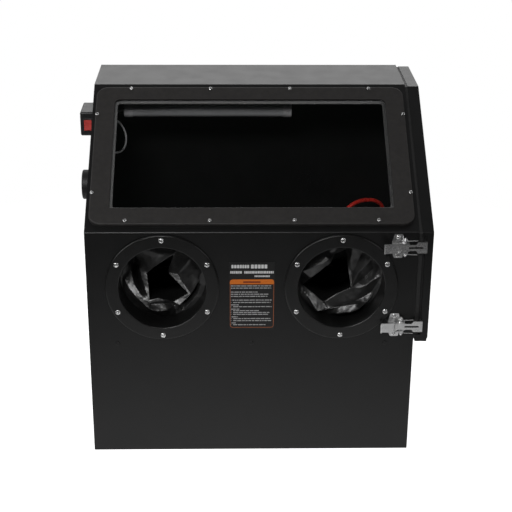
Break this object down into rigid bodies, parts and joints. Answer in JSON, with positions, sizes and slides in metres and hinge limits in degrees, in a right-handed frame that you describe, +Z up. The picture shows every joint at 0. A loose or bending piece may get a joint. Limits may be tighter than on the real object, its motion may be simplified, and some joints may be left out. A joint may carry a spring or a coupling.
{
  "type": "sandblast cabinet",
  "caption": "Bench-top sandblast cabinet with a sloping window, glove ports with gloves, a hinged side door on toggle latches, a work grate, hopper and blast gun.",
  "frame": {"origin": "centre of the footprint (580 x 424 mm body), on the underside; the bounding box is centred on it too", "axes": "+X to the right as seen from the glove ports, +Y to the back, +Z up"},
  "size_m": [0.631, 0.4604, 0.62],
  "materials": {
    "powder_coat": "satin, fine-textured powder coat",
    "inner_coat": "matt",
    "frame_plastic": "matt, lightly grained",
    "ring_plastic": "satin moulded",
    "glove_rubber": "matt coated fabric",
    "seal_rubber": "matt",
    "gasket_rubber": "matt",
    "window_pane": "clear",
    "bright_zinc": "bright zinc plated",
    "lamp_diffuser": "frosted",
    "lamp_plastic": "satin",
    "label_face": "satin printed foil",
    "box_plastic": "satin moulded",
    "rocker_red": "translucent gloss",
    "cap_plastic": "satin moulded",
    "lead_pvc": "gloss pvc",
    "hose_red": "satin",
    "hose_black": "satin",
    "brass": "machined",
    "gun_alloy": "cast",
    "nozzle_ceramic": "matt"
  },
  "bodies": {
    "cabinet": {"air_bulkhead": "brass", "air_hose": "hose_red", "back_panel": "powder_coat", "base_flange": "powder_coat", "extraction_port": "cap_plastic", "front_panel": "powder_coat", "glove_clamps": "bright_zinc", "glove_left": "glove_rubber", "glove_right": "glove_rubber", "glove_ring_left": "ring_plastic", "glove_ring_right": "ring_plastic", "grate_ledges": "inner_coat", "gun_body": "gun_alloy", "gun_nozzle": "nozzle_ceramic", "gun_nozzle_nut": "bright_zinc", "hinge_leaves_cabinet": "bright_zinc", "hinge_pins": "bright_zinc", "hopper": "inner_coat", "hose_ferrules": "brass", "label_plate": "label_face", "lamp_caps": "lamp_plastic", "lamp_hangers": "inner_coat", "lamp_lead": "lead_pvc", "lamp_tube": "lamp_diffuser", "latch_bases": "bright_zinc", "latch_screws": "bright_zinc", "latch_springs": "bright_zinc", "lead_gland": "box_plastic", "ledge_rivets": "powder_coat", "left_side_panel": "powder_coat", "panel_nuts": "bright_zinc", "pickup_tube": "bright_zinc", "power_inlet": "box_plastic", "right_side_panel": "powder_coat", "ring_screws": "bright_zinc", "suction_hose": "hose_black", "switch_bezel": "box_plastic", "switch_box": "box_plastic", "top_panel": "powder_coat", "trigger_pin": "bright_zinc", "vent_grille": "powder_coat", "window_frame": "frame_plastic", "window_gasket": "gasket_rubber", "window_glass": "window_pane", "window_panel": "powder_coat", "window_screws": "bright_zinc", "work_grate": "inner_coat"},
    "door": {"door_skin": "powder_coat", "door_frame": "powder_coat", "door_seal": "seal_rubber", "door_keepers": "bright_zinc", "hinge_leaves_door": "bright_zinc"},
    "lever_upper": {"latch_lever_upper": "bright_zinc"},
    "claw_upper": {"latch_claw_upper": "bright_zinc"},
    "lever_lower": {"latch_lever_lower": "bright_zinc"},
    "claw_lower": {"latch_claw_lower": "bright_zinc"},
    "rocker": {"switch_rocker": "rocker_red"},
    "port_cap": {"port_cap": "cap_plastic"},
    "drain_cap": {"drain_cap": "cap_plastic"},
    "trigger": {"gun_trigger": "gun_alloy"}
  },
  "joints": [
    {"name": "door_hinge", "type": "hinge", "parent": "cabinet", "child": "door", "pos_m": [0.29225, 0.216, 0.42], "axis": [0, 0, 1], "range_deg": [0, 120]},
    {"name": "lever_lower_hinge", "type": "hinge", "parent": "cabinet", "child": "lever_lower", "pos_m": [0.266, -0.2185, 0.2565], "axis": [0, 0, 1], "range_deg": [0, 100]},
    {"name": "claw_lower_hinge", "type": "hinge", "parent": "lever_lower", "child": "claw_lower", "pos_m": [0.2565, -0.2215, 0.2565], "axis": [0, 0, 1], "range_deg": [-110, 0]},
    {"name": "lever_upper_hinge", "type": "hinge", "parent": "cabinet", "child": "lever_upper", "pos_m": [0.266, -0.2185, 0.4085], "axis": [0, 0, 1], "range_deg": [0, 100]},
    {"name": "claw_upper_hinge", "type": "hinge", "parent": "lever_upper", "child": "claw_upper", "pos_m": [0.2565, -0.2215, 0.4085], "axis": [0, 0, 1], "range_deg": [-110, 0]},
    {"name": "rocker_hinge", "type": "hinge", "parent": "cabinet", "child": "rocker", "pos_m": [-0.3013, 0.031, 0.5525], "axis": [1, 0, 0], "range_deg": [0, 16]},
    {"name": "port_cap_pull", "type": "slide", "parent": "cabinet", "child": "port_cap", "axis": [-1, 0, 0], "range_m": [0, 0.03]},
    {"name": "drain_cap_pull", "type": "slide", "parent": "cabinet", "child": "drain_cap", "axis": [0, 0, -1], "range_m": [0, 0.02]},
    {"name": "trigger_hinge", "type": "hinge", "parent": "cabinet", "child": "trigger", "pos_m": [-0.002, -0.048, 0.2252], "axis": [0, 0, 1], "range_deg": [-10, 0], "stiffness_Nm_per_rad": 0.4, "springref_deg": 8.59}
  ],
  "couplings": [
    {"joint": "claw_lower_hinge", "follows": "lever_lower_hinge", "ratio": -1.1},
    {"joint": "claw_upper_hinge", "follows": "lever_upper_hinge", "ratio": -1.1}
  ]
}
